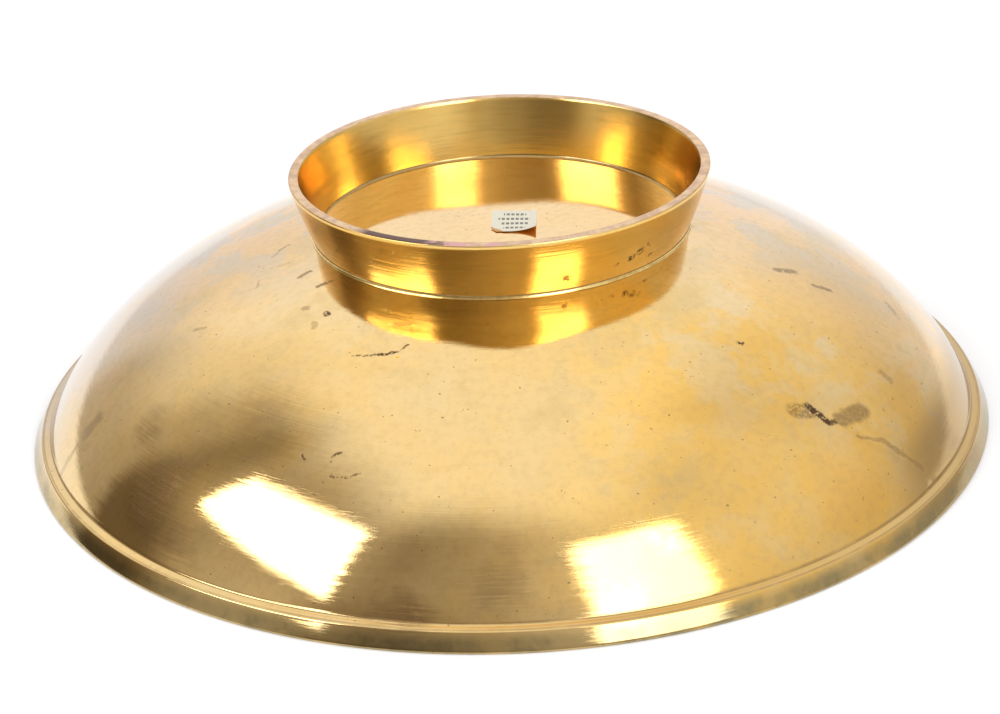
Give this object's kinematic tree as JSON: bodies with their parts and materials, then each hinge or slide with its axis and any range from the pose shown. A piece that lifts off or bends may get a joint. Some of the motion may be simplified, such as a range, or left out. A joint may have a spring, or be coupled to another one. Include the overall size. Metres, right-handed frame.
{
  "type": "offering plate",
  "caption": "Round brass offering plate with a raised rim band, a flared foot ring and a felt pad, stored upside down on its rim.",
  "frame": {"origin": "centre of the rim, in the plane that the rim rests on", "axes": "+Z along the turning axis from the rim towards the foot ring, so the plate lies upside down as pictured; +Y points away from the viewer of the picture and +X to the viewer's right"},
  "size_m": [0.305, 0.305, 0.0825],
  "materials": {
    "bowl_brass": "worn polish with turning lines and patches of tarnish",
    "foot_brass": "worn polish, turned round, with a rubbed land at its tip",
    "braze": "pale drawn fillet",
    "label_paper": "matt aged paper",
    "label_gum": "dried brown gum",
    "pad_felt": "pressed wool felt",
    "pad_board": "grey-brown chipboard edge",
    "pad_adhesive": "dried contact adhesive"
  },
  "bodies": {
    "root": {"bowl": "bowl_brass", "foot_ring": "foot_brass", "braze_joint": "braze", "label_paper": "label_paper", "label_gum": "label_gum", "pad_felt": "pad_felt", "pad_board": "pad_board", "pad_adhesive": "pad_adhesive"}
  },
  "joints": []
}
